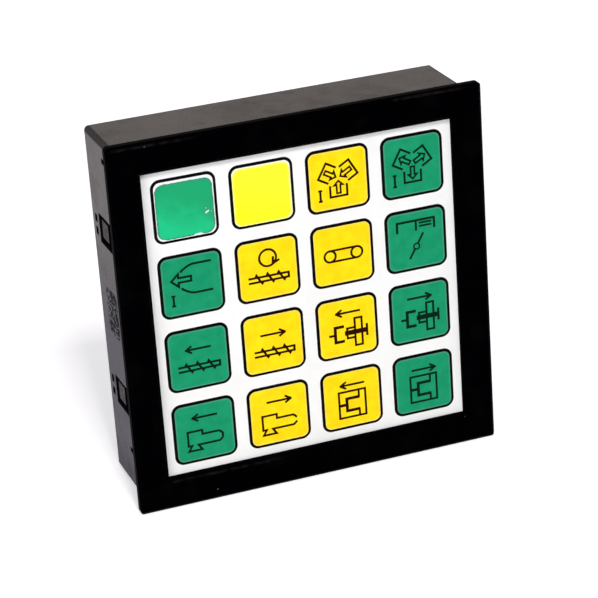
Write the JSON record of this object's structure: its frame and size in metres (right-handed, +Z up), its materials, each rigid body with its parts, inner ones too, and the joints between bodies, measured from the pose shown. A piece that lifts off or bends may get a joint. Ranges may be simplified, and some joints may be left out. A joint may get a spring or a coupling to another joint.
{
  "type": "keypad module",
  "caption": "Square panel-mount keypad: black frame, printed white foil with green and yellow pictogram keys in a grid, shallow grey housing with side latches.",
  "frame": {"origin": "on the plane of the frame's lower edge, under the middle of the module's width and depth", "axes": "+X to the right and +Z up as seen from the front, +Y from the front face back into the housing"},
  "size_m": [0.096, 0.0262, 0.096],
  "materials": {
    "front_black": "fine matt black moulding",
    "housing_grey": "dull dark grey moulding, rubbed",
    "foil_white": "smooth printed polyester foil",
    "label_green": "smooth film label",
    "label_yellow": "smooth film label",
    "adhesive_film": "dull film",
    "plate_metal": "rolled sheet, satin",
    "board_green": "solder mask over glass laminate",
    "standoff_brass": "turned",
    "screw_steel": "zinc plated",
    "shroud_black": "glass filled moulding",
    "pin_gold": "gold plated",
    "diode_glass": "glass body with a dark band",
    "plunger_ivory": "smooth slippery moulding",
    "switch_black": "moulded switch body"
  },
  "bodies": {
    "module": {"bezel_frame": "front_black", "housing_shell": "housing_grey", "overlay_foil": "foil_white", "label_green": "label_green", "label_yellow": "label_yellow", "adhesive_sheet": "adhesive_film", "key_plate": "plate_metal", "circuit_board": "board_green", "board_standoffs": "standoff_brass", "board_screws": "screw_steel", "header_shroud": "shroud_black", "header_pins": "pin_gold", "matrix_diodes": "diode_glass", "key_switch_00": "switch_black", "key_switch_01": "switch_black", "key_switch_02": "switch_black", "key_switch_03": "switch_black", "key_switch_10": "switch_black", "key_switch_11": "switch_black", "key_switch_12": "switch_black", "key_switch_13": "switch_black", "key_switch_20": "switch_black", "key_switch_21": "switch_black", "key_switch_22": "switch_black", "key_switch_23": "switch_black", "key_switch_30": "switch_black", "key_switch_31": "switch_black", "key_switch_32": "switch_black", "key_switch_33": "switch_black"},
    "key_00": {"key_plunger_00": "plunger_ivory"},
    "key_01": {"key_plunger_01": "plunger_ivory"},
    "key_02": {"key_plunger_02": "plunger_ivory"},
    "key_03": {"key_plunger_03": "plunger_ivory"},
    "key_10": {"key_plunger_10": "plunger_ivory"},
    "key_11": {"key_plunger_11": "plunger_ivory"},
    "key_12": {"key_plunger_12": "plunger_ivory"},
    "key_13": {"key_plunger_13": "plunger_ivory"},
    "key_20": {"key_plunger_20": "plunger_ivory"},
    "key_21": {"key_plunger_21": "plunger_ivory"},
    "key_22": {"key_plunger_22": "plunger_ivory"},
    "key_23": {"key_plunger_23": "plunger_ivory"},
    "key_30": {"key_plunger_30": "plunger_ivory"},
    "key_31": {"key_plunger_31": "plunger_ivory"},
    "key_32": {"key_plunger_32": "plunger_ivory"},
    "key_33": {"key_plunger_33": "plunger_ivory"}
  },
  "joints": [
    {"name": "key_00_travel", "type": "slide", "parent": "module", "child": "key_00", "axis": [0, 1, 0], "range_m": [0, 0.0005], "stiffness_N_per_m": 4000},
    {"name": "key_01_travel", "type": "slide", "parent": "module", "child": "key_01", "axis": [0, 1, 0], "range_m": [0, 0.0005], "stiffness_N_per_m": 4000},
    {"name": "key_02_travel", "type": "slide", "parent": "module", "child": "key_02", "axis": [0, 1, 0], "range_m": [0, 0.0005], "stiffness_N_per_m": 4000},
    {"name": "key_03_travel", "type": "slide", "parent": "module", "child": "key_03", "axis": [0, 1, 0], "range_m": [0, 0.0005], "stiffness_N_per_m": 4000},
    {"name": "key_10_travel", "type": "slide", "parent": "module", "child": "key_10", "axis": [0, 1, 0], "range_m": [0, 0.0005], "stiffness_N_per_m": 4000},
    {"name": "key_11_travel", "type": "slide", "parent": "module", "child": "key_11", "axis": [0, 1, 0], "range_m": [0, 0.0005], "stiffness_N_per_m": 4000},
    {"name": "key_12_travel", "type": "slide", "parent": "module", "child": "key_12", "axis": [0, 1, 0], "range_m": [0, 0.0005], "stiffness_N_per_m": 4000},
    {"name": "key_13_travel", "type": "slide", "parent": "module", "child": "key_13", "axis": [0, 1, 0], "range_m": [0, 0.0005], "stiffness_N_per_m": 4000},
    {"name": "key_20_travel", "type": "slide", "parent": "module", "child": "key_20", "axis": [0, 1, 0], "range_m": [0, 0.0005], "stiffness_N_per_m": 4000},
    {"name": "key_21_travel", "type": "slide", "parent": "module", "child": "key_21", "axis": [0, 1, 0], "range_m": [0, 0.0005], "stiffness_N_per_m": 4000},
    {"name": "key_22_travel", "type": "slide", "parent": "module", "child": "key_22", "axis": [0, 1, 0], "range_m": [0, 0.0005], "stiffness_N_per_m": 4000},
    {"name": "key_23_travel", "type": "slide", "parent": "module", "child": "key_23", "axis": [0, 1, 0], "range_m": [0, 0.0005], "stiffness_N_per_m": 4000},
    {"name": "key_30_travel", "type": "slide", "parent": "module", "child": "key_30", "axis": [0, 1, 0], "range_m": [0, 0.0005], "stiffness_N_per_m": 4000},
    {"name": "key_31_travel", "type": "slide", "parent": "module", "child": "key_31", "axis": [0, 1, 0], "range_m": [0, 0.0005], "stiffness_N_per_m": 4000},
    {"name": "key_32_travel", "type": "slide", "parent": "module", "child": "key_32", "axis": [0, 1, 0], "range_m": [0, 0.0005], "stiffness_N_per_m": 4000},
    {"name": "key_33_travel", "type": "slide", "parent": "module", "child": "key_33", "axis": [0, 1, 0], "range_m": [0, 0.0005], "stiffness_N_per_m": 4000}
  ]
}
